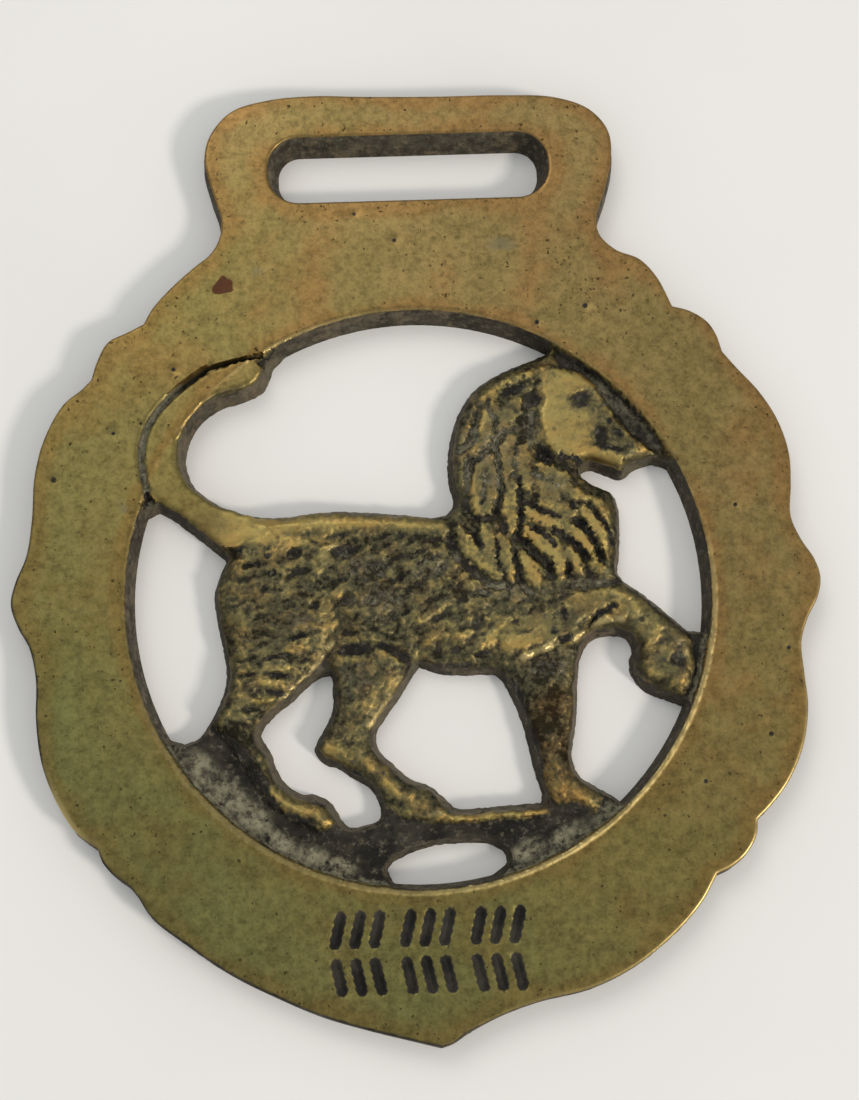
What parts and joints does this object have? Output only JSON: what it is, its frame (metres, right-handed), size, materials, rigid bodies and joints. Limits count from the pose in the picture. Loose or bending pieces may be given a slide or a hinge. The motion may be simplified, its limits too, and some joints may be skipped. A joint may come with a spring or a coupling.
{
  "type": "horse brass",
  "caption": "Flat cast brass harness medallion: a scalloped ring with a slotted strap loop on top and a pierced walking lion in the round opening.",
  "frame": {"origin": "Middle of the outline's box, on the surface it lies on; the flat back is at z = 0.", "axes": "+Z is out of the face, +Y points from the lion's feet to the strap loop, +X is to the lion's front."},
  "size_m": [0.076, 0.0914, 0.0032],
  "materials": {
    "aged_brass": "aged satin with dark dirt in the hollows"
  },
  "bodies": {
    "root": {"horse_brass": "aged_brass"}
  },
  "joints": []
}
